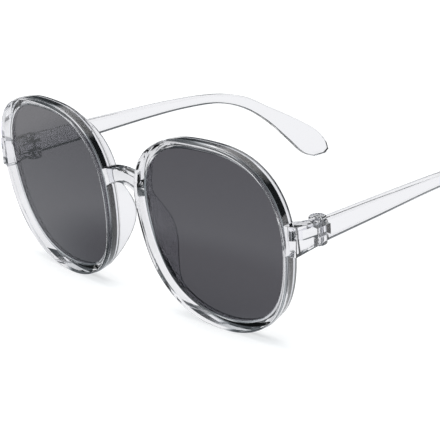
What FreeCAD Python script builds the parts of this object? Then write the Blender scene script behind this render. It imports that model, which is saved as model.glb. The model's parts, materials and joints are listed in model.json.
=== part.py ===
import FreeCAD, Part
import math
import os

# Oversized sunglasses, open, standing on a table on their rims and temple tips.
# Sizes are millimetres and degrees. X runs across the front and +X is the wearer's left,
# Y runs back from the front to the temple tips, Z is up from the table.

# Rim outline: a circle, squared off a little and flattened along the top
rim_radius = 31.6
square_share = 0.029
flat_top_share = 0.027
square_lobes = 4
flat_top_lobes = 3
outline_steps = 24

# How the two rims stand to each other and to the table
nose_gap = 16.8
wrap_deg = 4.2
lean_deg = 6.1

# Rim section: front bevel down to the lens, drafted outer wall, lens groove
crest_land = 0.3
bevel_width = 2.9
bevel_depth = 2.2
lip_wall = 0.4
rim_depth = 5.75
part_line_depth = 1.9
part_line_swell = 0.25
rear_draft = 0.3
rear_chamfer = 0.4
groove_depth = 0.9

# Lenses: flat, snapped into the groove
lens_thickness = 2.0
lens_clearance = 0.1

# Bridge, heights counted from the lens centres
bridge_top = 14.1
bridge_top_drop = 1.8
bridge_arch = 9.5
bridge_arch_drop = 4.9
bridge_setback = 1.7
bridge_rear_step = 0.25
bridge_sink = 1.5

# Nose pads moulded behind the nasal side of each rim, led into by a low shoulder above the bridge
shoulder_top_deg = 105.0
shoulder_crown_deg = 156.0
shoulder_rise = 2.0
shoulder_bury = 0.15
pad_top_deg = 165.0
pad_bottom_deg = 238.0
pad_steps = 19
pad_end_share = 0.05
pad_skew_share = 0.765
pad_reach = 7.5
pad_flare = 1.0
pad_root_inset = 0.4
pad_root_width = 2.0
pad_tip_inset = 1.05
pad_tip_width = 1.4
pad_tip_bevel = 0.4
pad_sink = 0.7

# End pieces that turn back from the rims to the hinges
end_above_pin = 3.6
end_below_pin = 3.75
end_root_above = 4.6
end_root_below = 5.0
end_root_depth = 0.2
end_flare_run = 0.7
end_root_sink = 0.4
end_foot_inset = 1.8
end_length = 4.6
end_inner_inset = 1.0
end_inner_run = 2.6
end_corner_radius = 0.8

# Hinges: three knuckles on one upright screw
hinge_rise = 5.3
pin_outset = 0.4
pin_setback = 3.15
barrel_radius = 2.7
barrel_above = 4.1
barrel_below = 4.7
barrel_bevel = 0.6
knuckle_radius = 2.35
knuckle_height = 2.9
knuckle_gap = 0.15
rib_foot_inset = 2.4
butt_gap = 0.1

# Hinge screws
screw_radius = 0.7
screw_fit = 0.02
screw_running = 0.05
screw_end_wall = 0.9
head_radius = 1.3
head_height = 0.8
head_fit = 0.05
driver_slot_width = 0.4
driver_slot_depth = 0.4

# Temples: root height, reach behind the end piece, thickness and toe-in
temple_reach = 143.4
temple_rise = 3.85
temple_root_thickness = 3.3
temple_tip_thickness = 2.3
temple_edge_bevel = 0.35
toe_in_deg = 3.1

# Temple edges from root to tip, as shares of the reach and of the root's top height
temple_top_shares = [
    (0.0, 1.0),
    (0.25, 0.985),
    (0.45, 0.963),
    (0.60, 0.912),
    (0.70, 0.810),
    (0.78, 0.652),
    (0.87, 0.470),
    (0.95, 0.287),
    (0.988, 0.145),
    (1.0, 0.035),
]
temple_bottom_shares = [
    (0.945, 0.0),
    (0.905, 0.065),
    (0.85, 0.253),
    (0.78, 0.490),
    (0.70, 0.688),
    (0.61, 0.809),
    (0.50, 0.849),
    (0.38, 0.851),
    (0.20, 0.829),
    (0.0, 0.809),
]
tip_heel_share = 0.985

cut_overrun = 0.6
same_place = 0.01

Vector = FreeCAD.Vector
across = Vector(1, 0, 0)
back = Vector(0, 1, 0)
up = Vector(0, 0, 1)
middle = Vector(0, 0, 0)
wrap = math.radians(wrap_deg)
lean = math.radians(lean_deg)


def outline_at(angle, inset):
    # A point of the rim outline, moved inwards along its normal; angle 0 is the temple side
    radius = rim_radius * (1 + flat_top_share * math.sin(flat_top_lobes * angle)
                           - square_share * math.cos(square_lobes * angle))
    growth = rim_radius * (flat_top_lobes * flat_top_share * math.cos(flat_top_lobes * angle)
                           + square_lobes * square_share * math.sin(square_lobes * angle))
    run_u = growth * math.cos(angle) - radius * math.sin(angle)
    run_v = growth * math.sin(angle) + radius * math.cos(angle)
    run = math.hypot(run_u, run_v)
    return (radius * math.cos(angle) - inset * run_v / run,
            radius * math.sin(angle) + inset * run_u / run)


# The widest part of a rim, seen square to the front, sets how far the lens centres stand apart
side_u = outline_at(0, 0)[0]
half_width = side_u * math.cos(wrap)
half_spacing = nose_gap / 2 + half_width


def rim_point(angle, inset, depth):
    u, v = outline_at(angle, inset)
    return Vector(u, depth, v)


def stood(point):
    # Where a point of the upright rim lies once the rim is wrapped and leaned, lens centres at zero height
    x = half_spacing + point.x * math.cos(wrap) - point.y * math.sin(wrap)
    y = point.x * math.sin(wrap) + point.y * math.cos(wrap)
    return Vector(x, y * math.cos(lean) - point.z * math.sin(lean),
                  y * math.sin(lean) + point.z * math.cos(lean))


# Places worked out from the sizes
turns = [math.radians(degree) for degree in range(360)]
front_edge = [stood(rim_point(turn, 0, 0)) for turn in turns]
part_edge = [stood(rim_point(turn, -part_line_swell, part_line_depth)) for turn in turns]
lens_height = -min(point.z for point in front_edge + part_edge)
front_y = min(point.y for point in front_edge)
rim_side_x = half_spacing + half_width
rim_side_y = side_u * math.sin(wrap)
rim_rear_y = rim_side_y + rim_depth * math.cos(wrap)
butt_y = rim_rear_y + end_length
pin_x = rim_side_x + pin_outset
pin_y = butt_y + pin_setback
outer_x = pin_x + temple_root_thickness
hinge_z = lens_height + hinge_rise
temple_top_z = hinge_z + temple_rise
temple_y = butt_y + butt_gap
tip_y = temple_y + temple_reach
origin_shift = Vector(0, -(front_y + tip_y) / 2, 0)
groove_front = bevel_depth + lip_wall
groove_width = lens_thickness + 2 * lens_clearance


def rim_wire(inset, depth):
    angles = [2 * math.pi * step / outline_steps for step in range(outline_steps)]
    points = [rim_point(angle, inset, depth) for angle in angles]
    curve = Part.BSplineCurve()
    curve.interpolate(Points=points, PeriodicFlag=True)
    return Part.Wire([curve.toShape()])


def rim_loft(stations):
    return Part.makeLoft([rim_wire(inset, depth) for inset, depth in stations], True, True)


def stand(shape):
    # Wraps, leans and lifts an upright rim shape to its place on the wearer's left
    placed = shape.copy()
    placed.rotate(middle, up, wrap_deg)
    placed.translate(Vector(half_spacing, 0, 0))
    return lean_and_lift(placed)


def lean_and_lift(shape):
    placed = shape.copy()
    placed.rotate(middle, across, lean_deg)
    placed.translate(Vector(0, 0, lens_height))
    return placed


def mirrored(shape):
    return shape.mirror(middle, across)


def prism(corners, low_z, high_z):
    points = [Vector(x, y, low_z) for x, y in corners]
    face = Part.Face(Part.makePolygon(points + points[:1]))
    return face.extrude(Vector(0, 0, high_z - low_z))


def round_upright_edges(solid, radius, places):
    # Rounds the upright edges that stand at the given plan corners
    edges = []
    for edge in solid.Edges:
        start, end = edge.Vertexes[0].Point, edge.Vertexes[-1].Point
        for x, y in places:
            if math.hypot(start.x - x, start.y - y) + math.hypot(end.x - x, end.y - y) < same_place:
                edges.append(edge)
    return solid.makeFillet(radius, edges)


def upright_cylinder(radius, low_z, high_z):
    return Part.makeCylinder(radius, high_z - low_z, Vector(pin_x, pin_y, low_z), up)


def make_rim():
    # A ring with a drafted outer wall, a front bevel, a rear chamfer and the lens groove
    body = rim_loft([
        (0, 0),
        (-part_line_swell, part_line_depth),
        (rear_draft, rim_depth),
    ])
    bevel_slope = (bevel_width - crest_land) / bevel_depth
    opening = rim_loft([
        (crest_land - cut_overrun * bevel_slope, -cut_overrun),
        (bevel_width, bevel_depth),
        (bevel_width, rim_depth - rear_chamfer),
        (bevel_width - rear_chamfer - cut_overrun, rim_depth + cut_overrun),
    ])
    groove_inset = bevel_width - groove_depth
    groove = rim_loft([(groove_inset, groove_front), (groove_inset, groove_front + groove_width)])
    return body.cut(opening).cut(groove)


def make_bridge():
    # A bar with an arched underside between the two rims
    half_span = nose_gap / 2 + bridge_sink
    front = bridge_setback - rim_side_y
    rear = rim_depth - rim_side_y - bridge_rear_step
    top_left = Vector(-half_span, front, bridge_top - bridge_top_drop)
    top_middle = Vector(0, front, bridge_top)
    top_right = Vector(half_span, front, bridge_top - bridge_top_drop)
    low_right = Vector(half_span, front, bridge_arch - bridge_arch_drop)
    low_middle = Vector(0, front, bridge_arch)
    low_left = Vector(-half_span, front, bridge_arch - bridge_arch_drop)
    outline = Part.Wire([
        Part.Arc(top_left, top_middle, top_right).toShape(),
        Part.makeLine(top_right, low_right),
        Part.Arc(low_right, low_middle, low_left).toShape(),
        Part.makeLine(low_left, top_left),
    ])
    return Part.Face(outline).extrude(back * (rear - front))


def pad_swell(angle_deg):
    # Share of the pad's full reach at one place round the rim, and whether the fullest place is still ahead
    share = min(max((angle_deg - pad_top_deg) / (pad_bottom_deg - pad_top_deg), 0), 1) ** pad_skew_share
    return math.sin(math.pi * share) ** 2, share < 0.5


def shoulder_height(angle_deg):
    # The low shoulder that leads into the pad: it starts just under the rim's rear face and climbs out of it
    climb = min((angle_deg - shoulder_top_deg) / (shoulder_crown_deg - shoulder_top_deg), 1)
    ease = math.sin(math.pi / 2 * climb) ** 2
    return shoulder_rise * ease - shoulder_bury * (1 - ease)


def pad_section(angle_deg):
    # One cross-section of the nose pad, square to the rim, with a bevelled tip
    swell, climbing = pad_swell(angle_deg)
    root_depth = rim_depth - pad_sink
    tip_depth = rim_depth + pad_reach * swell
    if climbing:
        tip_depth += shoulder_height(angle_deg) * (1 - swell)
    tip_inset = pad_tip_inset + pad_flare * swell
    tip_half = pad_tip_width / 2
    corners = [
        (pad_root_inset, root_depth),
        (tip_inset - tip_half, tip_depth - pad_tip_bevel),
        (tip_inset - tip_half + pad_tip_bevel, tip_depth),
        (tip_inset + tip_half - pad_tip_bevel, tip_depth),
        (tip_inset + tip_half, tip_depth - pad_tip_bevel),
        (pad_root_inset + pad_root_width, root_depth),
    ]
    angle = math.radians(angle_deg)
    points = [rim_point(angle, inset, depth) for inset, depth in corners]
    return Part.makePolygon(points + points[:1])


def make_pad():
    end_deg = pad_bottom_deg - pad_end_share * (pad_bottom_deg - pad_top_deg)
    span = end_deg - shoulder_top_deg
    stations = [shoulder_top_deg + span * step / (pad_steps - 1) for step in range(pad_steps)]
    return Part.makeLoft([pad_section(station) for station in stations], True, False)


def make_end_piece():
    # A lug that leaves the rim flush with its front, tapers back to the hinge and carries the middle knuckle
    root_y = rim_side_y + end_root_depth
    outer_corner = (outer_x, root_y + end_flare_run)
    inner_x = pin_x - end_inner_inset
    block = prism([
        (rim_side_x - end_root_sink, root_y),
        outer_corner,
        (outer_x, butt_y),
        (inner_x, butt_y),
        (inner_x, butt_y - end_inner_run),
        (rim_side_x - end_foot_inset, rim_rear_y - end_root_sink),
    ], hinge_z - end_root_below, hinge_z + end_root_above)
    block = round_upright_edges(block, end_corner_radius, [outer_corner])
    taper = [
        Vector(0, root_y, hinge_z - end_root_below),
        Vector(0, butt_y, hinge_z - end_below_pin),
        Vector(0, butt_y, hinge_z + end_above_pin),
        Vector(0, root_y, hinge_z + end_root_above),
    ]
    block = block.common(Part.Face(Part.makePolygon(taper + taper[:1])).extrude(across * (outer_x + cut_overrun)))
    knuckle_low = hinge_z - knuckle_height / 2
    knuckle_high = hinge_z + knuckle_height / 2
    knuckle_x = pin_x - knuckle_radius
    rib = prism([
        (pin_x + knuckle_radius, butt_y),
        (pin_x + knuckle_radius, pin_y),
        (knuckle_x, pin_y),
        (knuckle_x, butt_y),
        (rim_side_x - rib_foot_inset, rim_rear_y - end_root_sink),
    ], knuckle_low, knuckle_high)
    bore = upright_cylinder(screw_radius + screw_running, knuckle_low - cut_overrun, knuckle_high + cut_overrun)
    return block.fuse([rib, upright_cylinder(knuckle_radius, knuckle_low, knuckle_high)]).cut(bore)


def make_front_frame():
    side = stand(make_rim().fuse(make_pad())).fuse(make_end_piece())
    return side.fuse([mirrored(side), lean_and_lift(make_bridge())])


def temple_outline():
    # The temple seen from the side: two smooth edges, a flat foot under the tip and a square root
    def placed(shares):
        return [Vector(0, temple_y + run * temple_reach, rise * temple_top_z) for run, rise in shares]

    top = placed(temple_top_shares)
    bottom = placed(temple_bottom_shares)
    heel = Vector(0, temple_y + tip_heel_share * temple_reach, 0)
    top_edge = Part.BSplineCurve()
    top_edge.interpolate(Points=top)
    bottom_edge = Part.BSplineCurve()
    bottom_edge.interpolate(Points=bottom)
    return Part.Wire([
        top_edge.toShape(),
        Part.makeLine(top[-1], heel),
        Part.makeLine(heel, bottom[0]),
        bottom_edge.toShape(),
        Part.makeLine(bottom[-1], top[0]),
    ])


def make_temple():
    toe_in = math.tan(math.radians(toe_in_deg))
    tip_x = outer_x - toe_in * temple_reach
    tip_inner_x = tip_x - temple_tip_thickness
    inner_slope = (pin_x - tip_inner_x) / (tip_y - pin_y)
    slab = Part.Face(temple_outline()).extrude(across * (outer_x + cut_overrun))
    # The inner face is one plane through the hinge axis, so both faces run straight from root to tip
    plan = prism([
        (outer_x, temple_y),
        (tip_x, tip_y),
        (tip_inner_x, tip_y),
        (pin_x + inner_slope * (pin_y - temple_y), temple_y),
    ], -cut_overrun, temple_top_z + cut_overrun)
    blade = slab.common(plan).Solids[0]
    long_edges = [edge for edge in blade.Edges if edge.Length > temple_reach / 2]
    blade = blade.makeChamfer(temple_edge_bevel, long_edges)
    barrel_low = hinge_z - barrel_below
    barrel_high = hinge_z + barrel_above
    barrel = upright_cylinder(barrel_radius, barrel_low, barrel_high)
    rims = [edge for edge in barrel.Edges if edge.Curve.TypeId == "Part::GeomCircle"]
    barrel = barrel.makeChamfer(barrel_bevel, rims)
    slot_reach = knuckle_radius + knuckle_gap
    slot = Part.makeBox(
        2 * barrel_radius + slot_reach,
        pin_setback + barrel_radius + slot_reach,
        knuckle_height + 2 * knuckle_gap,
        Vector(pin_x - 2 * barrel_radius, pin_y - pin_setback - barrel_radius,
               hinge_z - knuckle_height / 2 - knuckle_gap),
    )
    bore = upright_cylinder(screw_radius + screw_fit, barrel_low + screw_end_wall, barrel_high + cut_overrun)
    seat = upright_cylinder(head_radius + head_fit, barrel_high - head_height, barrel_high + cut_overrun)
    return blade.fuse(barrel).cut([slot, bore, seat])


def make_screw():
    high_z = hinge_z + barrel_above
    low_z = hinge_z - barrel_below + screw_end_wall
    shank = upright_cylinder(screw_radius, low_z, high_z)
    head = upright_cylinder(head_radius, high_z - head_height, high_z)
    driver_slot = Part.makeBox(
        driver_slot_width, 2 * head_radius, driver_slot_depth,
        Vector(pin_x - driver_slot_width / 2, pin_y - head_radius, high_z - driver_slot_depth),
    )
    return shank.fuse(head).cut(driver_slot)


def make_lens():
    inset = bevel_width - groove_depth + lens_clearance
    front = groove_front + lens_clearance
    return stand(rim_loft([(inset, front), (inset, front + lens_thickness)]))


def save(name, shape):
    placed = shape.copy()
    placed.translate(origin_shift)
    placed.exportStep("parts/" + name + ".step")
    print(name, "solids", len(placed.Solids), "valid", placed.isValid(), "volume", round(placed.Volume, 2))


os.makedirs("parts", exist_ok=True)
save("front_frame", make_front_frame())
for piece, shape in (("lens", make_lens()), ("temple", make_temple()), ("hinge_screw", make_screw())):
    save(piece + "_left", shape)
    save(piece + "_right", mirrored(shape))
print("hinge axis", pin_x, pin_y + origin_shift.y, hinge_z)
print("tip foot", tip_heel_share * temple_reach + temple_y + origin_shift.y)
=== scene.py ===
import json
import math
import bmesh
import bpy
from mathutils import Matrix, Vector


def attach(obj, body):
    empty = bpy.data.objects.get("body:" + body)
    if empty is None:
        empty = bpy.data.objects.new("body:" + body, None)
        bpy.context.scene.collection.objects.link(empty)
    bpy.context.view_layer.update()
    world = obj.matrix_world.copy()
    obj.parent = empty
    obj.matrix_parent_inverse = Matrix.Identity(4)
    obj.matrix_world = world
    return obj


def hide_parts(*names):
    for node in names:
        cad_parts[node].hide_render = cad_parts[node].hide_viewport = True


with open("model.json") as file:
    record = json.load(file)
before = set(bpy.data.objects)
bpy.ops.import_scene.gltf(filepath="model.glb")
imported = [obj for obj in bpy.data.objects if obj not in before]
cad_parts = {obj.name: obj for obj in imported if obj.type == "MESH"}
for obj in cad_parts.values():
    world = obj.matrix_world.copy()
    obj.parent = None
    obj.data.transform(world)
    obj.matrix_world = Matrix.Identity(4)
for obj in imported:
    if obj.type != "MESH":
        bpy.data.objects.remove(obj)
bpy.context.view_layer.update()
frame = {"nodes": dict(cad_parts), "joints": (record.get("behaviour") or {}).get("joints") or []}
mm = 0.001
print("frame loaded:", ", ".join(sorted(frame["nodes"])))


def addNode(tree, kind, inputs=None, **settings):
    node = tree.nodes.new(kind)
    for name, value in settings.items():
        setattr(node, name, value)
    for key, value in (inputs or {}).items():
        if isinstance(value, bpy.types.NodeSocket):
            tree.links.new(value, node.inputs[key])
        else:
            node.inputs[key].default_value = value
    return node


def tone(hexCode):  # sRGB hex to the linear colour that a socket takes
    parts = [int(hexCode[i:i + 2], 16) / 255 for i in (1, 3, 5)]
    return [p / 12.92 if p <= 0.04045 else ((p + 0.055) / 1.055) ** 2.4 for p in parts] + [1.0]


# How the rims stand: sizes in mm, angles in degrees
stance = {"noseGap": 16.8, "wrap": 4.2, "lean": 6.1}

# Rim: an outline as shares of its radius, and the sizes of its section
rim = {
    "radius": 31.6, "squareShare": 0.029, "flatTopShare": 0.027, "steps": 288,
    "crestLand": 0.3, "bevelWidth": 2.9, "bevelDepth": 2.2, "lipWall": 0.4, "depth": 5.75,
    "partLineDepth": 1.9, "partLineSwell": 0.25, "rearDraft": 0.3, "rearChamfer": 0.4,
    "grooveDepth": 0.9, "crestRound": 0.13, "rearRound": 0.35, "edgeRound": 0.08,
}

lens = {"thickness": 2.0, "clearance": 0.1, "edgeRound": 0.15}

# Hinge: three knuckles on one upright screw; the cutters run past the faces that they open
hinge = {
    "rise": 5.3, "endLength": 4.6, "pinSetback": 3.15, "buttGap": 0.1,
    "barrelRadius": 2.7, "barrelAbove": 4.1, "barrelBelow": 4.7, "barrelRound": 0.6,
    "knuckleRadius": 2.35, "knuckleHeight": 2.9, "knuckleGap": 0.15,
    "screwRadius": 0.7, "screwFit": 0.02, "screwRunning": 0.05, "screwEndWall": 0.9,
    "headRadius": 1.3, "headFit": 0.05, "headHeight": 0.8,
    "cutPast": 1.0, "slotReach": 6.0, "barrelSteps": 72, "boreSteps": 32, "seatSteps": 48,
}

# Fineness of the meshes: mm, degrees and counts
meshing = {"mergeReach": 0.002, "cornerStep": 11, "sharpFrom": 30, "bevelSteps": 4}
quarterArc = [math.radians(degrees) for degrees in (0, 18, 36, 54, 72, 90)]  # a rounded edge

wrap = math.radians(stance["wrap"])
lean = math.radians(stance["lean"])


def outlineAt(angle, inset):  # rim outline, moved inwards along its normal; 0 is the temple side
    r, sq, ft = rim["radius"], rim["squareShare"], rim["flatTopShare"]
    radius = r * (1 + ft * math.sin(3 * angle) - sq * math.cos(4 * angle))
    growth = r * (3 * ft * math.cos(3 * angle) + 4 * sq * math.sin(4 * angle))
    runU = growth * math.cos(angle) - radius * math.sin(angle)
    runV = growth * math.sin(angle) + radius * math.cos(angle)
    run = math.hypot(runU, runV)
    u = radius * math.cos(angle) - inset * runV / run
    v = radius * math.sin(angle) + inset * runU / run
    return u, v


# Places that follow from the hinge axis in the frame
pin = Vector(next(j for j in frame["joints"] if j["name"] == "hinge_left")["pos_m"]) / mm
sideU = outlineAt(0, 0)[0]
rimSideX = stance["noseGap"] / 2 + 2 * sideU * math.cos(wrap)
rimSideY = sideU * math.sin(wrap)
rimRearY = rimSideY + rim["depth"] * math.cos(wrap)
buttY = rimRearY + hinge["endLength"]
pinY = buttY + hinge["pinSetback"]
frontShift = Matrix.Translation((0, pin.y - pinY, 0))
lensHeight = pin.z - hinge["rise"]
leaned = frontShift @ Matrix.Translation((0, 0, lensHeight)) @ Matrix.Rotation(lean, 4, "X")
rimCentre = Matrix.Translation((rimSideX - sideU * math.cos(wrap), 0, 0))
stood = leaned @ rimCentre @ Matrix.Rotation(wrap, 4, "Z")
mirror = Matrix.Diagonal((-1, 1, 1, 1))


def newPiece(name, mesh):
    piece = bpy.data.objects.new(name, mesh)
    bpy.context.scene.collection.objects.link(piece)
    return piece


def meshFrom(name, points, faces, place=Matrix.Identity(4)):  # points in mm, mesh in metres
    mesh = bpy.data.meshes.new(name)
    mesh.from_pydata([place @ Vector(p) * mm for p in points], [], faces)
    return turnedOut(mesh)


def turnedOut(mesh):  # doubles merged, faces pointing outwards
    bm = bmesh.new()
    bm.from_mesh(mesh)
    bmesh.ops.remove_doubles(bm, verts=bm.verts, dist=meshing["mergeReach"] * mm)
    bmesh.ops.recalc_face_normals(bm, faces=bm.faces)
    bm.to_mesh(mesh)
    bm.free()
    return mesh


def loft(name, rings, place=Matrix.Identity(4)):  # closed rings joined in order, capped at both ends
    count = len(rings[0])
    points = [p for ring in rings for p in ring]
    faces = [list(range(count))[::-1], [(len(rings) - 1) * count + i for i in range(count)]]
    for k in range(len(rings) - 1):
        here, there = k * count, (k + 1) * count
        for i in range(count):
            j = (i + 1) % count
            faces.append([here + i, here + j, there + j, there + i])
    return meshFrom(name, points, faces, place)


def revolve(name, profile, steps):  # profile of (radius, height) round the hinge axis
    turns = [2 * math.pi * i / steps for i in range(steps)]
    return loft(name, [
        [(pin.x + r * math.cos(t), pin.y + r * math.sin(t), z) for t in turns] for r, z in profile])


def roundedCorners(corners):  # corners of (a, b, radius) to a polyline with arcs
    path = []
    for k, (a, b, radius) in enumerate(corners):
        here = Vector((a, b))
        if radius == 0:
            path.append(here)
            continue
        before = (Vector(corners[k - 1][:2]) - here).normalized()
        after = (Vector(corners[(k + 1) % len(corners)][:2]) - here).normalized()
        half = before.angle(after) / 2
        reach = radius / math.tan(half)
        centre = here + (before + after).normalized() * (radius / math.sin(half))
        start, end = here + before * reach - centre, here + after * reach - centre
        sweep = start.angle_signed(end)
        arcSteps = max(2, round(abs(sweep) / math.radians(meshing["cornerStep"])))
        for i in range(arcSteps + 1):
            spoke = start.copy()
            spoke.rotate(Matrix.Rotation(-sweep * i / arcSteps, 2))
            path.append(centre + spoke)
    return path


def bevelledBlock(name, rings, bevel, place):  # a loft whose sharp edges are rounded off
    mesh = loft(name, rings, place)
    bm = bmesh.new()
    bm.from_mesh(mesh)
    sharp = math.radians(meshing["sharpFrom"])
    edges = [e for e in bm.edges if e.calc_face_angle(0) > sharp]
    bmesh.ops.bevel(bm, geom=edges, offset=bevel * mm, segments=meshing["bevelSteps"],
                    profile=0.5, affect="EDGES", clamp_overlap=True)
    bm.to_mesh(mesh)
    bm.free()
    return mesh


def carve(base, tools, operation):  # joins or cuts solids and keeps one plain mesh
    piece = newPiece(base.name, base)
    cutters = [newPiece(tool.name, tool) for tool in tools]
    for cutter in cutters:
        step = piece.modifiers.new(cutter.name, "BOOLEAN")
        step.operation, step.solver, step.object = operation, "EXACT", cutter
    depsgraph = bpy.context.evaluated_depsgraph_get()
    result = bpy.data.meshes.new_from_object(piece.evaluated_get(depsgraph))
    for part in [piece] + cutters:
        bpy.data.objects.remove(part)
    result.name = base.name
    return result


def mirrored(mesh):
    copy = mesh.copy()
    copy.transform(mirror)
    return turnedOut(copy)


def shaded(mesh, degrees):  # smooth, with a crease wherever the surface really turns
    mesh.shade_smooth()
    mesh.set_sharp_from_angle(angle=math.radians(degrees))
    return mesh


def boxOf(mesh):
    return [Vector([pick(v.co[k] for v in mesh.vertices) for k in range(3)]) for pick in (min, max)]


# The rim's section as (outwards, backwards), with the groove for the lens
def rimSection():
    bevelIn, grooveIn = -rim["bevelWidth"], rim["grooveDepth"] - rim["bevelWidth"]
    grooveFront = rim["bevelDepth"] + rim["lipWall"]
    grooveRear = grooveFront + lens["thickness"] + 2 * lens["clearance"]
    return roundedCorners([
        (0, 0, rim["crestRound"]),
        (rim["partLineSwell"], rim["partLineDepth"], 0),
        (-rim["rearDraft"], rim["depth"], rim["rearRound"]),
        (bevelIn + rim["rearChamfer"], rim["depth"], rim["edgeRound"]),
        (bevelIn, rim["depth"] - rim["rearChamfer"], rim["edgeRound"]),
        (bevelIn, grooveRear, 0),
        (grooveIn, grooveRear, 0),
        (grooveIn, grooveFront, 0),
        (bevelIn, grooveFront, 0),
        (bevelIn, rim["bevelDepth"], rim["edgeRound"]),
        (-rim["crestLand"], 0, rim["crestRound"]),
    ])


# Geometry Nodes sweep the section round the same formula as outlineAt
def rimSweepTree():
    tree = bpy.data.node_groups.new("rimSweep", "GeometryNodeTree")
    sockets = {}
    for name, kind in (("Section", "Geometry"), ("Radius", "Float"), ("Square Share", "Float"),
                       ("Flat Top Share", "Float"), ("Steps", "Int"), ("Material", "Material")):
        sockets[name] = tree.interface.new_socket(
            name, in_out="INPUT", socket_type="NodeSocket" + kind).identifier
    tree.interface.new_socket("Rim", in_out="OUTPUT", socket_type="NodeSocketGeometry")
    given = addNode(tree, "NodeGroupInput").outputs
    ring = addNode(tree, "GeometryNodeCurvePrimitiveCircle", {
        "Resolution": given["Steps"], "Radius": 1.0}).outputs[0]
    place = addNode(tree, "GeometryNodeInputPosition").outputs[0]
    axes = addNode(tree, "ShaderNodeSeparateXYZ", {0: place}).outputs
    angle = addNode(tree, "ShaderNodeMath", {
        0: axes["Y"], 1: axes["X"]}, operation="ARCTAN2").outputs[0]
    triple = addNode(tree, "ShaderNodeMath", {0: angle, 1: 3.0}, operation="MULTIPLY").outputs[0]
    lobe = addNode(tree, "ShaderNodeMath", {0: triple}, operation="SINE").outputs[0]
    quadruple = addNode(tree, "ShaderNodeMath", {
        0: angle, 1: 4.0}, operation="MULTIPLY").outputs[0]
    square = addNode(tree, "ShaderNodeMath", {0: quadruple}, operation="COSINE").outputs[0]
    flat = addNode(tree, "ShaderNodeMath", {
        0: lobe, 1: given["Flat Top Share"], 2: 1.0}, operation="MULTIPLY_ADD").outputs[0]
    corner = addNode(tree, "ShaderNodeMath", {
        0: square, 1: given["Square Share"]}, operation="MULTIPLY").outputs[0]
    share = addNode(tree, "ShaderNodeMath", {0: flat, 1: corner}, operation="SUBTRACT").outputs[0]
    radius = addNode(tree, "ShaderNodeMath", {
        0: share, 1: given["Radius"]}, operation="MULTIPLY").outputs[0]
    spot = addNode(tree, "ShaderNodeVectorMath", {
        0: place, "Scale": radius}, operation="SCALE").outputs[0]
    path = addNode(tree, "GeometryNodeSetPosition", {
        "Geometry": ring, "Position": spot}).outputs[0]
    path = addNode(tree, "GeometryNodeSetCurveNormal", {"Curve": path}, mode="Z_UP").outputs[0]
    section = addNode(tree, "GeometryNodeMeshToCurve", {"Mesh": given["Section"]}).outputs[0]
    swept = addNode(tree, "GeometryNodeCurveToMesh", {
        "Curve": path, "Profile Curve": section}).outputs[0]
    whole = addNode(tree, "GeometryNodeRealizeInstances", {0: swept}).outputs[0]
    dressed = addNode(tree, "GeometryNodeSetMaterial", {
        "Geometry": whole, "Material": given["Material"]}).outputs[0]
    addNode(tree, "NodeGroupOutput", {0: dressed})
    return tree, sockets


def makeRim(material):
    section = rimSection()
    count = len(section)
    mesh = bpy.data.meshes.new("rim")
    mesh.from_pydata([(out * mm, back * mm, 0) for out, back in section],
                     [(i, (i + 1) % count) for i in range(count)], [])
    piece = newPiece("rim", mesh)
    sweep = piece.modifiers.new("sweep", "NODES")
    tree, sockets = rimSweepTree()
    sweep.node_group = tree
    sweep[sockets["Radius"]] = rim["radius"] * mm
    sweep[sockets["Square Share"]] = rim["squareShare"]
    sweep[sockets["Flat Top Share"]] = rim["flatTopShare"]
    sweep[sockets["Steps"]] = rim["steps"]
    sweep[sockets["Material"]] = material
    depsgraph = bpy.context.evaluated_depsgraph_get()
    swept = bpy.data.meshes.new_from_object(piece.evaluated_get(depsgraph))
    piece.modifiers.clear()
    bpy.data.objects.remove(piece)
    toMetres = Matrix.Scale(mm, 4) @ stood @ Matrix.Scale(1 / mm, 4)
    swept.transform(toMetres @ Matrix.Rotation(math.radians(90), 4, "X"))
    print("rim swept:", len(swept.vertices), "points, box",
          [round(c, 4) for v in boxOf(swept) for c in v])
    return turnedOut(swept)


# Bridge: a bar with an arched underside
bridge = {
    "top": 14.1, "topDrop": 1.8, "arch": 9.5, "archDrop": 4.9, "setback": 1.7, "rearStep": 0.25,
    "sink": 1.5, "edgeRound": 0.35, "steps": 28,
}


def arcDrop(x, half, drop):  # fall of a circular arc from its middle
    radius = (half ** 2 + drop ** 2) / (2 * drop)
    return radius - math.sqrt(radius ** 2 - x ** 2)


def makeBridge():
    half = stance["noseGap"] / 2 + bridge["sink"]
    across = [half * (2 * i / bridge["steps"] - 1) for i in range(bridge["steps"] + 1)]
    upper = [(x, bridge["top"] - arcDrop(x, half, bridge["topDrop"])) for x in across]
    lower = [(x, bridge["arch"] - arcDrop(x, half, bridge["archDrop"])) for x in across]
    front = bridge["setback"] - rimSideY
    rear = rim["depth"] - rimSideY - bridge["rearStep"]
    rings = [[(x, y, z) for x, z in upper + lower[::-1]] for y in (front, rear)]
    return bevelledBlock("bridge", rings, bridge["edgeRound"], leaned)


# Nose pad: a fin behind the nasal side of the rim, led into by a low shoulder above the bridge.
# Its places along the rim are in degrees
nosePad = {
    "shoulderTop": 105, "shoulderCrown": 156, "shoulderRise": 2.0, "shoulderBury": 0.15,
    "top": 165, "bottom": 238, "stations": 81, "endShare": 0.05, "skewShare": 0.765,
    "reach": 7.5, "flare": 1.0, "rootInset": 0.4, "rootWidth": 2.0, "sink": 0.7,
    "tipInset": 1.05, "tipWidth": 1.4, "tipFullness": 0.8, "tipSteps": 8,
}


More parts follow.
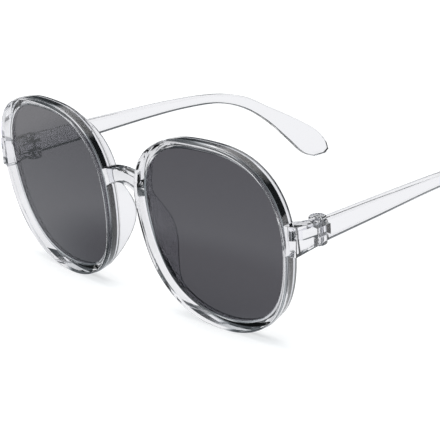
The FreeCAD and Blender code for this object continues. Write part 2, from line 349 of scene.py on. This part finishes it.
def makePad():
    rings = []
    half = nosePad["tipWidth"] / 2
    span = nosePad["bottom"] - nosePad["top"]
    first = nosePad["shoulderTop"]
    last = nosePad["bottom"] - nosePad["endShare"] * span
    rootDepth = rim["depth"] - nosePad["sink"]
    for k in range(nosePad["stations"]):
        degrees = first + (last - first) * k / (nosePad["stations"] - 1)
        share = min(max((degrees - nosePad["top"]) / span, 0), 1) ** nosePad["skewShare"]
        swell = math.sin(math.pi * share) ** 2
        tipDepth = rim["depth"] + nosePad["reach"] * swell
        if share < 0.5:  # above the middle of the fin
            climb = min((degrees - first) / (nosePad["shoulderCrown"] - first), 1)
            ease = math.sin(math.pi / 2 * climb) ** 2
            shoulder = nosePad["shoulderRise"] * ease - nosePad["shoulderBury"] * (1 - ease)
            tipDepth += shoulder * (1 - swell)
        tipInset = nosePad["tipInset"] + nosePad["flare"] * swell
        ring = [(nosePad["rootInset"], rootDepth)]
        for i in range(nosePad["tipSteps"] + 1):
            turn = math.pi * i / nosePad["tipSteps"]
            fall = half * (1 - math.sin(turn)) * nosePad["tipFullness"]
            ring.append((tipInset - half * math.cos(turn), tipDepth - fall))
        ring.append((nosePad["rootInset"] + nosePad["rootWidth"], rootDepth))
        spots = [outlineAt(math.radians(degrees), inset) + (depth,) for inset, depth in ring]
        rings.append([(u, n, v) for u, v, n in spots])
    return loft("nosePad", rings, stood)


# Temple: a flat arm whose side edges pass through shares of its reach and of its height
temple = {
    "reach": 143.4, "rise": 3.85, "rootThickness": 3.3, "tipThickness": 2.3, "toeIn": 3.1,
    "buttRound": 0.35, "buttShare": 0.001, "rootRound": 1.25, "tipRound": 0.6, "steps": 10,
    "topShares": [
        (0.0, 1.0), (0.25, 0.985), (0.45, 0.963), (0.60, 0.912), (0.70, 0.810),
        (0.78, 0.652), (0.87, 0.470), (0.95, 0.287), (0.988, 0.145), (1.0, 0.035)],
    "bottomShares": [
        (0.985, 0.0), (0.945, 0.0), (0.905, 0.065), (0.85, 0.253), (0.78, 0.490), (0.70, 0.688),
        (0.61, 0.809), (0.50, 0.849), (0.38, 0.851), (0.20, 0.829), (0.0, 0.809)],
}

# End piece: a lug flush with the rim's front that tapers to the hinge, with the middle knuckle
endPiece = {
    "abovePin": 3.6, "belowPin": 3.75, "rootAbove": 4.6, "rootBelow": 5.0, "rootDepth": 0.2,
    "flareRun": 0.7, "rootSink": 0.4, "footInset": 1.8, "ribFootInset": 2.4,
    "innerInset": 1.0, "innerRun": 2.6, "innerRound": 0.5, "cornerRound": 0.8, "edgeRound": 0.3,
}


def makeEndPiece():
    outerX = pin.x + temple["rootThickness"]
    innerX = pin.x - endPiece["innerInset"]
    rootY = rimSideY + endPiece["rootDepth"]
    footY = rimRearY - endPiece["rootSink"]
    plan = roundedCorners([
        (rimSideX - endPiece["rootSink"], rootY, 0),
        (outerX, rootY + endPiece["flareRun"], endPiece["cornerRound"]),
        (outerX, buttY, 0),
        (innerX, buttY, 0),
        (innerX, buttY - endPiece["innerRun"], endPiece["innerRound"]),
        (rimSideX - endPiece["footInset"], footY, 0),
    ])
    rings = []
    for root, end in ((-endPiece["rootBelow"], -endPiece["belowPin"]),
                      (endPiece["rootAbove"], endPiece["abovePin"])):
        rings.append([(x, y, pin.z + root + (end - root) * (y - rootY) / (buttY - rootY))
                      for x, y in plan])
    block = bevelledBlock("endPiece", rings, endPiece["edgeRound"], frontShift)
    low, high = pin.z - hinge["knuckleHeight"] / 2, pin.z + hinge["knuckleHeight"] / 2
    reach = hinge["knuckleRadius"]
    ribPlan = [
        (pin.x + reach, buttY),
        (pin.x + reach, pinY),
        (pin.x - reach, pinY),
        (pin.x - reach, buttY),
        (rimSideX - endPiece["ribFootInset"], footY),
    ]
    rib = loft("rib", [[(x, y, z) for x, y in ribPlan] for z in (low, high)], frontShift)
    knuckle = revolve("knuckle", [(reach, low), (reach, high)], hinge["barrelSteps"])
    boreRadius = hinge["screwRadius"] + hinge["screwRunning"]
    boreEnds = (low - hinge["cutPast"], high + hinge["cutPast"])
    bore = revolve("bore", [(boreRadius, z) for z in boreEnds], hinge["boreSteps"])
    return carve(carve(block, [rib, knuckle], "UNION"), [bore], "DIFFERENCE")


def curveThrough(points, steps):  # smooth line through a few points
    path = []
    for k in range(len(points) - 1):
        a, b = points[k], points[k + 1]
        span = (b - a).length
        tangentA = tangentB = b - a
        if k:
            before = points[k - 1]
            tangentA = (b - before) / 2 * (2 * span / (span + (a - before).length))
        if k + 2 < len(points):
            after = points[k + 2]
            tangentB = (after - a) / 2 * (2 * span / (span + (after - b).length))
        for i in range(steps):
            t = i / steps
            path.append((2 * t ** 3 - 3 * t ** 2 + 1) * a + (t ** 3 - 2 * t ** 2 + t) * tangentA
                        + (3 * t ** 2 - 2 * t ** 3) * b + (t ** 3 - t ** 2) * tangentB)
    return path + [points[-1]]


def templeBlade():
    rootY = pin.y - hinge["pinSetback"] + hinge["buttGap"]
    topZ = pin.z + temple["rise"]
    top, bottom = ([Vector((rootY + run * temple["reach"], rise * topZ)) for run, rise in temple[key]]
                   for key in ("topShares", "bottomShares"))
    steps = temple["steps"]
    side = curveThrough(top, steps) + bottom[:1] + curveThrough(bottom[1:], steps)
    outerX = pin.x + temple["rootThickness"]
    outerSlope = math.tan(math.radians(temple["toeIn"]))
    tipInner = outerX - outerSlope * temple["reach"] - temple["tipThickness"]
    innerSlope = (pin.x - tipInner) / (rootY + temple["reach"] - pin.y)
    normals, softness = [], []
    for i, p in enumerate(side):
        run = (side[(i + 1) % len(side)] - side[i - 1]).normalized()
        normals.append(Vector((run.y, -run.x)))  # inwards for this winding
        share = (p.x - rootY) / temple["reach"]
        soft = temple["rootRound"] + (temple["tipRound"] - temple["rootRound"]) * share
        softness.append(temple["buttRound"] if share < temple["buttShare"] else soft)
    rings = []
    for onInside, arc in ((True, quarterArc), (False, quarterArc[::-1])):
        for turn in arc:
            ring = []
            for p, n, radius in zip(side, normals, softness):
                q = p + n * radius * (1 - math.sin(turn))
                step = radius * (1 - math.cos(turn))
                inner = pin.x - innerSlope * (q.x - pin.y) + step
                outer = outerX - outerSlope * (q.x - rootY) - step
                ring.append((inner if onInside else outer, q.x, q.y))
            rings.append(ring)
    return loft("temple", rings)


def makeTemple():  # the blade with its barrel, cut for the middle knuckle and the screw
    low, high = pin.z - hinge["barrelBelow"], pin.z + hinge["barrelAbove"]
    past = high + hinge["cutPast"]
    arc = [(hinge["barrelRound"] * (1 - math.cos(turn)), hinge["barrelRound"] * (1 - math.sin(turn)))
           for turn in quarterArc]
    profile = [(hinge["barrelRadius"] - inset, low + fall) for inset, fall in arc[::-1]]
    profile += [(hinge["barrelRadius"] - inset, high - fall) for inset, fall in arc]
    barrel = revolve("barrel", profile, hinge["barrelSteps"])
    reach, away = hinge["knuckleRadius"] + hinge["knuckleGap"], hinge["slotReach"]
    halfSlot = hinge["knuckleHeight"] / 2 + hinge["knuckleGap"]
    slotPlan = [
        (pin.x - away, pin.y - away),
        (pin.x + reach, pin.y - away),
        (pin.x + reach, pin.y + reach),
        (pin.x - away, pin.y + reach),
    ]
    slot = loft("slot", [[(x, y, pin.z + h) for x, y in slotPlan] for h in (-halfSlot, halfSlot)])
    boreRadius = hinge["screwRadius"] + hinge["screwFit"]
    boreEnds = (low + hinge["screwEndWall"], past)
    bore = revolve("bore", [(boreRadius, z) for z in boreEnds], hinge["boreSteps"])
    seatRadius = hinge["headRadius"] + hinge["headFit"]
    seatEnds = (high - hinge["headHeight"], past)
    seat = revolve("seat", [(seatRadius, z) for z in seatEnds], hinge["seatSteps"])
    return carve(carve(templeBlade(), [barrel], "UNION"), [slot, bore, seat], "DIFFERENCE")


def makeLens():
    inset = rim["bevelWidth"] - rim["grooveDepth"] + lens["clearance"]
    front = rim["bevelDepth"] + rim["lipWall"] + lens["clearance"]
    rear, soft = front + lens["thickness"], lens["edgeRound"]
    turns = [2 * math.pi * i / rim["steps"] for i in range(rim["steps"])]
    rings = []
    for extra, depth in ((soft, front), (0, front + soft), (0, rear - soft), (soft, rear)):
        spots = [outlineAt(t, inset + extra) for t in turns]
        rings.append([(u, depth, v) for u, v in spots])
    return loft("lens", rings, stood)


def newMaterial(name):
    material = bpy.data.materials.new(name)
    material.use_nodes = True
    material.node_tree.nodes.clear()
    return material, material.node_tree


def passShadow(tree, glass, tint):  # light goes on through the plastic, a little dimmed
    shade = addNode(tree, "ShaderNodeBsdfTransparent", {"Color": tone(tint)}).outputs[0]
    path = addNode(tree, "ShaderNodeLightPath").outputs["Is Shadow Ray"]
    mixed = addNode(tree, "ShaderNodeMixShader", {0: path, 1: glass, 2: shade}).outputs[0]
    addNode(tree, "ShaderNodeOutputMaterial", {"Surface": mixed})


# Clear acrylic, moulded and polished: colourless, so the eye gets bent light, pale faces and dark
# edges, and faint flow ripples; pattern sizes in mm
clearFinish = {
    "body": "#F9F9FC", "shadow": "#EDEFF0", "roughness": 0.015, "ior": 1.49,
    "rippleSize": 9.0, "rippleHeight": 0.05, "rippleStrength": 0.05,
}


def clearAcrylic():
    material, tree = newMaterial("clearAcrylicPolished")
    place = addNode(tree, "ShaderNodeTexCoord").outputs["Object"]
    flow = addNode(tree, "ShaderNodeTexNoise", {
        "Vector": place, "Scale": 1 / (clearFinish["rippleSize"] * mm), "Detail": 2.0,
    }).outputs["Fac"]
    ripple = addNode(tree, "ShaderNodeBump", {
        "Height": flow, "Strength": clearFinish["rippleStrength"],
        "Distance": clearFinish["rippleHeight"] * mm,
    }).outputs["Normal"]
    glass = addNode(tree, "ShaderNodeBsdfPrincipled", {
        "Base Color": tone(clearFinish["body"]), "Roughness": clearFinish["roughness"],
        "IOR": clearFinish["ior"], "Transmission Weight": 1.0, "Normal": ripple,
    }).outputs[0]
    passShadow(tree, glass, clearFinish["shadow"])
    return material


# Grey acrylic sheet, dyed right through and hard coated: mirror smooth, with faint coat smears
lensFinish = {
    "body": "#5E5D62", "shadow": "#8A898E", "roughness": (0.0, 0.012), "ior": 1.49,
    "smearSize": 6.0,
}


def greyLens():
    material, tree = newMaterial("greyTintedLens")
    place = addNode(tree, "ShaderNodeTexCoord").outputs["Object"]
    coat = addNode(tree, "ShaderNodeTexNoise", {
        "Vector": place, "Scale": 1 / (lensFinish["smearSize"] * mm), "Detail": 2.0,
    }).outputs["Fac"]
    smooth, smeared = lensFinish["roughness"]
    rough = addNode(tree, "ShaderNodeMapRange", {0: coat, 3: smooth, 4: smeared}).outputs[0]
    glass = addNode(tree, "ShaderNodeBsdfPrincipled", {
        "Base Color": tone(lensFinish["body"]), "Roughness": rough,
        "IOR": lensFinish["ior"], "Transmission Weight": 1.0,
    }).outputs[0]
    passShadow(tree, glass, lensFinish["shadow"])
    return material


# Plated steel, turned: a bright satin metal whose fine tool marks break up its gloss
steelFinish = {"body": "#E2E3E5", "roughness": (0.38, 0.55), "gritSize": 0.2}


def platedSteel():
    material, tree = newMaterial("platedSteelTurned")
    place = addNode(tree, "ShaderNodeTexCoord").outputs["Object"]
    grit = addNode(tree, "ShaderNodeTexNoise", {
        "Vector": place, "Scale": 1 / (steelFinish["gritSize"] * mm), "Detail": 3.0,
    }).outputs["Fac"]
    smooth, coarse = steelFinish["roughness"]
    rough = addNode(tree, "ShaderNodeMapRange", {0: grit, 3: smooth, 4: coarse}).outputs[0]
    metal = addNode(tree, "ShaderNodeBsdfPrincipled", {
        "Base Color": tone(steelFinish["body"]), "Metallic": 1.0, "Roughness": rough,
    }).outputs[0]
    addNode(tree, "ShaderNodeOutputMaterial", {"Surface": metal})
    return material


acrylic, tinted, steel = clearAcrylic(), greyLens(), platedSteel()
print("materials made")

crease = {"front": 14, "lens": 14, "temple": 24}  # degrees at which an edge stays sharp


def dress(name, mesh, material, body, node, degrees):
    piece = newPiece(name, shaded(mesh, degrees))
    piece.data.materials.clear()
    piece.data.materials.append(material)
    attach(piece, body)
    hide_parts(node)


leftRim = makeRim(acrylic)
leftPad, leftEnd = makePad(), makeEndPiece()
print("pads and end pieces made")
rightSide = [mirrored(mesh) for mesh in (leftRim, leftPad, leftEnd)]
front = carve(leftRim, [leftPad, leftEnd, makeBridge()] + rightSide, "UNION")
dress("clearFront", front, acrylic, "front", "front_frame", crease["front"])
print("front joined:", len(front.polygons), "faces")

leftLens = makeLens()
rightLens = mirrored(leftLens)
dress("lensLeft", leftLens, tinted, "front", "lens_left", crease["lens"])
dress("lensRight", rightLens, tinted, "front", "lens_right", crease["lens"])
print("lenses made:", len(leftLens.polygons), "faces each")

leftTemple = makeTemple()
rightTemple = mirrored(leftTemple)
dress("templeLeft", leftTemple, acrylic, "temple_left", "temple_left",
      crease["temple"])
dress("templeRight", rightTemple, acrylic, "temple_right", "temple_right",
      crease["temple"])
print("temples made:", len(leftTemple.polygons), "faces each")

for name in ("hinge_screw_left", "hinge_screw_right"):  # the CAD screws keep their shape
    screw = frame["nodes"][name]
    screw.data.materials.clear()
    screw.data.materials.append(steel)
print("screws plated")


# White painted table. The camera sees it white, with the shadow of the front. Bent rays see painted
# shade on it in front of the glasses, which fades from its dark value to its pale one. Metres
table = {
    "size": 6.0, "drop": 0.0001, "paint": "#F2F2F2", "veil": "#C0C0C0",
    "glow": (0.5, 1.0), "glowReach": (0.2, 0.9),
    # painted shade in front of the glasses, seen by bent rays: its dark and pale values, tints and
    # edges
    "paleness": (0.03, 0.95), "darkTint": "#D6E4EC", "paleTint": "#FFFFFF",
    "shadeBack": (-0.20, -0.02), "shadeFront": (-0.205, -0.26), "shadeEnd": (-0.11, -0.18),
    "shadeLeft": -0.15, "shadeRight": 0.08, "rightSlope": 1.5,
    # painted contact shadow under the rims, seen by bent rays
    "shadowOvalDark": 0.08, "shadowOvalY": -0.088, "shadowOvalHalf": (0.07, 0.022), "shadowOvalEdge": (0.6, 1.3),
}


def makeTable():
    half = table["size"] / 2
    mesh = bpy.data.meshes.new("floor")
    mesh.from_pydata([(x * half, y * half, -table["drop"])
                      for x, y in ((-1, -1), (1, -1), (1, 1), (-1, 1))], [], [(0, 1, 2, 3)])
    floor = newPiece("floor", mesh)
    material, tree = newMaterial("whitePaintedTable")
    rays = addNode(tree, "ShaderNodeLightPath").outputs
    place = addNode(tree, "ShaderNodeTexCoord").outputs["Object"]
    axes = addNode(tree, "ShaderNodeSeparateXYZ", {0: place}).outputs

    # the back edge of the painted shade turns forwards on the right and backwards on the left
    aside = addNode(tree, "ShaderNodeMath", {
        0: axes["X"], 1: -table["shadeLeft"]}, operation="ADD").outputs[0]
    aside = addNode(tree, "ShaderNodeMath", {0: aside, 1: 0.0}, operation="MINIMUM").outputs[0]
    depth = addNode(tree, "ShaderNodeMath", {0: aside, 1: axes["Y"]}, operation="ADD").outputs[0]
    aside = addNode(tree, "ShaderNodeMath", {
        0: axes["X"], 1: table["shadeRight"]}, operation="SUBTRACT").outputs[0]
    aside = addNode(tree, "ShaderNodeMath", {0: aside, 1: 0.0}, operation="MAXIMUM").outputs[0]
    depth = addNode(tree, "ShaderNodeMath", {
        0: aside, 1: table["rightSlope"], 2: depth}, operation="MULTIPLY_ADD").outputs[0]
    dark, pale = table["paleness"]
    paleness = 0.0
    for along, edge in ((depth, "shadeBack"), (axes["Y"], "shadeFront"), (axes["X"], "shadeEnd")):
        fade = addNode(tree, "ShaderNodeMapRange", {
            0: along, 1: table[edge][0], 2: table[edge][1], 3: dark, 4: pale,
        }, interpolation_type="SMOOTHSTEP").outputs[0]
        paleness = addNode(tree, "ShaderNodeMath", {
            0: fade, 1: paleness}, operation="MAXIMUM").outputs[0]

    # a painted contact shadow: a dark oval where the rims touch, seen by bent rays
    halfX, halfY = table["shadowOvalHalf"]
    shadowOval = addNode(tree, "ShaderNodeVectorMath", {
        0: place, 1: (0, table["shadowOvalY"], 0)}, operation="SUBTRACT").outputs[0]
    shadowOval = addNode(tree, "ShaderNodeVectorMath", {
        0: shadowOval, 1: (1 / halfX, 1 / halfY, 0)}, operation="MULTIPLY").outputs[0]
    shadowOval = addNode(tree, "ShaderNodeVectorMath", {
        0: shadowOval}, operation="LENGTH").outputs["Value"]
    shadowOval = addNode(tree, "ShaderNodeMapRange", {
        0: shadowOval, 1: table["shadowOvalEdge"][0], 2: table["shadowOvalEdge"][1],
        3: table["shadowOvalDark"], 4: 1.0}, interpolation_type="SMOOTHSTEP").outputs[0]
    paleness = addNode(tree, "ShaderNodeMath", {
        0: paleness, 1: shadowOval}, operation="MULTIPLY").outputs[0]
    cast = addNode(tree, "ShaderNodeMix", {
        0: paleness, 6: tone(table["darkTint"]), 7: tone(table["paleTint"])},
        data_type="RGBA").outputs[2]
    seen = addNode(tree, "ShaderNodeEmission", {"Color": cast, "Strength": paleness}).outputs[0]

    # the white that the camera sees, which keeps the shadow and gets brighter further out
    matt = addNode(tree, "ShaderNodeBsdfDiffuse", {"Color": tone(table["paint"])}).outputs[0]
    veil = addNode(tree, "ShaderNodeBsdfDiffuse", {"Color": tone(table["veil"])}).outputs[0]
    reach = addNode(tree, "ShaderNodeVectorMath", {0: place}, operation="LENGTH").outputs["Value"]
    level = addNode(tree, "ShaderNodeMapRange", {
        0: reach, 1: table["glowReach"][0], 2: table["glowReach"][1],
        3: table["glow"][0], 4: table["glow"][1]}).outputs[0]
    glow = addNode(tree, "ShaderNodeEmission", {"Strength": level}).outputs[0]
    lit = addNode(tree, "ShaderNodeAddShader", {0: veil, 1: glow}).outputs[0]
    bent = addNode(tree, "ShaderNodeMath", {
        0: rays["Is Glossy Ray"], 1: rays["Is Transmission Ray"]}, operation="MAXIMUM").outputs[0]
    surface = addNode(tree, "ShaderNodeMixShader", {
        0: rays["Is Camera Ray"], 1: matt, 2: lit}).outputs[0]
    surface = addNode(tree, "ShaderNodeMixShader", {0: bent, 1: surface, 2: seen}).outputs[0]
    addNode(tree, "ShaderNodeOutputMaterial", {"Surface": surface})
    mesh.materials.append(material)


# Strip softbox, hung in the plane of the leaning front so that the contact shadow stays narrow
strip = {"power": 9.0, "length": 0.9, "width": 0.4, "height": 0.9, "foot": -0.07}


def makeStrip():
    lamp = bpy.data.lights.new("stripSoftbox", "AREA")
    lamp.shape = "RECTANGLE"
    lamp.energy, lamp.size, lamp.size_y = strip["power"], strip["length"], strip["width"]
    box = bpy.data.objects.new("stripSoftbox", lamp)
    bpy.context.scene.collection.objects.link(box)
    foot = Vector((0, strip["foot"], 0))
    box.location = foot + strip["height"] * Vector((0, -math.tan(lean), 1))
    box.visible_glossy = box.visible_transmission = False
    box.rotation_mode = "QUATERNION"
    box.rotation_quaternion = (foot - box.location).to_track_quat("-Z", "Y")


# Room: white to the camera; bent rays see it dim, with pale panels behind, overhead and in front.
# A panel's edge and core are cosines of the angle from its aim
room = {
    "light": 0.55, "dark": 0.10, "darkTint": "#D6E4EC", "paleTint": "#FFFFFF",
    "panels": [
        {"aim": (-0.25, 0.60, 0.76), "edge": 0.78, "core": 0.88},
        {"aim": (0.0, 0.05, 1.0), "edge": 0.85, "core": 0.96},
        {"aim": (0.35, -0.93, 0.1), "edge": 0.80, "core": 0.93},
    ],
}


def makeRoom():
    world = bpy.data.worlds.new("studio")
    bpy.context.scene.world = world
    world.use_nodes = True
    tree = world.node_tree
    tree.nodes.clear()
    rays = addNode(tree, "ShaderNodeLightPath").outputs
    way = addNode(tree, "ShaderNodeTexCoord").outputs["Generated"]
    level = room["dark"]
    for panel in room["panels"]:
        facing = addNode(tree, "ShaderNodeVectorMath", {
            0: way, 1: Vector(panel["aim"]).normalized()}, operation="DOT_PRODUCT").outputs["Value"]
        pale = addNode(tree, "ShaderNodeMapRange", {
            0: facing, 1: panel["edge"], 2: panel["core"]},
            interpolation_type="SMOOTHSTEP").outputs[0]
        level = addNode(tree, "ShaderNodeMath", {0: pale, 1: level}, operation="MAXIMUM").outputs[0]
    white = tone(room["paleTint"])
    cast = addNode(tree, "ShaderNodeMix", {
        0: level, 6: tone(room["darkTint"]), 7: white}, data_type="RGBA").outputs[2]
    cast = addNode(tree, "ShaderNodeMix", {
        0: rays["Is Camera Ray"], 6: cast, 7: white}, data_type="RGBA").outputs[2]
    bent = addNode(tree, "ShaderNodeMath", {
        0: rays["Is Transmission Ray"], 1: rays["Is Glossy Ray"]}, operation="MAXIMUM").outputs[0]
    strength = addNode(tree, "ShaderNodeMix", {0: bent, 2: room["light"], 3: level}).outputs[0]
    strength = addNode(tree, "ShaderNodeMath", {
        0: strength, 1: rays["Is Camera Ray"]}, operation="MAXIMUM").outputs[0]
    backdrop = addNode(tree, "ShaderNodeBackground", {
        "Color": cast, "Strength": strength}).outputs[0]
    addNode(tree, "ShaderNodeOutputWorld", {"Surface": backdrop})


# Camera at the photograph's viewing angle: degrees, metres, and mm of lens and sensor
view = {
    "azimuth": 49.02, "elevation": 19.5, "roll": -3.49, "distance": 0.4696,
    "aim": (0.0445, 0.0003, 0.0380), "lens": 129.37, "sensor": 36, "clipStart": 0.01,
}


def makeCamera():
    azimuth, elevation, roll = (math.radians(view[name]) for name in ("azimuth", "elevation", "roll"))
    level = math.cos(elevation)
    back = Vector((math.sin(azimuth) * level, -math.cos(azimuth) * level, math.sin(elevation)))
    side = Vector((0, 0, 1)).cross(back).normalized()
    rise = back.cross(side)
    right = side * math.cos(roll) + rise * math.sin(roll)
    upward = rise * math.cos(roll) - side * math.sin(roll)
    camera = bpy.data.cameras.new("camera")
    camera.sensor_width, camera.lens = view["sensor"], view["lens"]
    camera.clip_start = view["clipStart"]
    holder = bpy.data.objects.new("camera", camera)
    bpy.context.scene.collection.objects.link(holder)
    aim = Vector(view["aim"]) + Vector((0, (pin.y - pinY) * mm, 0))
    turn = Matrix((right, upward, back)).transposed().to_4x4()
    holder.matrix_world = Matrix.Translation(aim + back * view["distance"]) @ turn
    bpy.context.scene.camera = holder


makeTable()
makeStrip()
makeRoom()
makeCamera()
bpy.context.scene.view_settings.view_transform = "Standard"
print("studio set")
